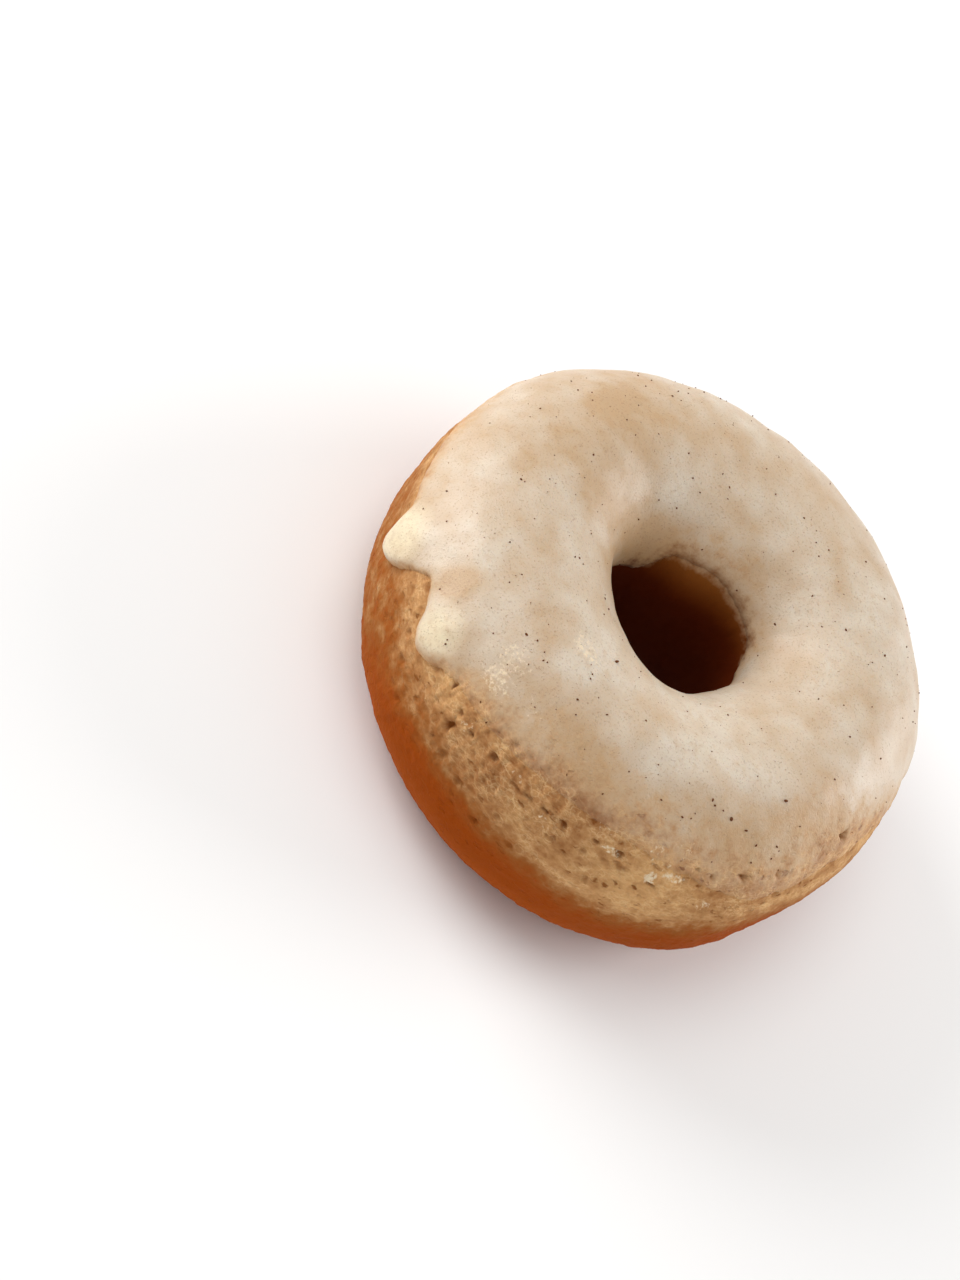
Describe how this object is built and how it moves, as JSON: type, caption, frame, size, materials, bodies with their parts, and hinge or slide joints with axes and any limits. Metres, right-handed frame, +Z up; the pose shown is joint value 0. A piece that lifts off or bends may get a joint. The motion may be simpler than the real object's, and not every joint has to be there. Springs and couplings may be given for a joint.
{
  "type": "cinnamon doughnut",
  "caption": "Baked ring doughnut with a browned moulded side, a pale open-crumbed crown and a thin cream cinnamon icing that ends in soft drips.",
  "frame": {"origin": "middle of the base, on the surface that the doughnut lies on", "axes": "+Z up through the hole; -Y faces the viewer of the picture, -X is the side with the drips"},
  "size_m": [0.0814, 0.0876, 0.0337],
  "materials": {
    "dough": "baked cake dough, browned by the tin below, pale and open-crumbed above",
    "icing": "thin set sugar icing, cream, satin, flecked with ground cinnamon"
  },
  "bodies": {
    "root": {"dough_ring": "dough", "icing": "icing"}
  },
  "joints": []
}
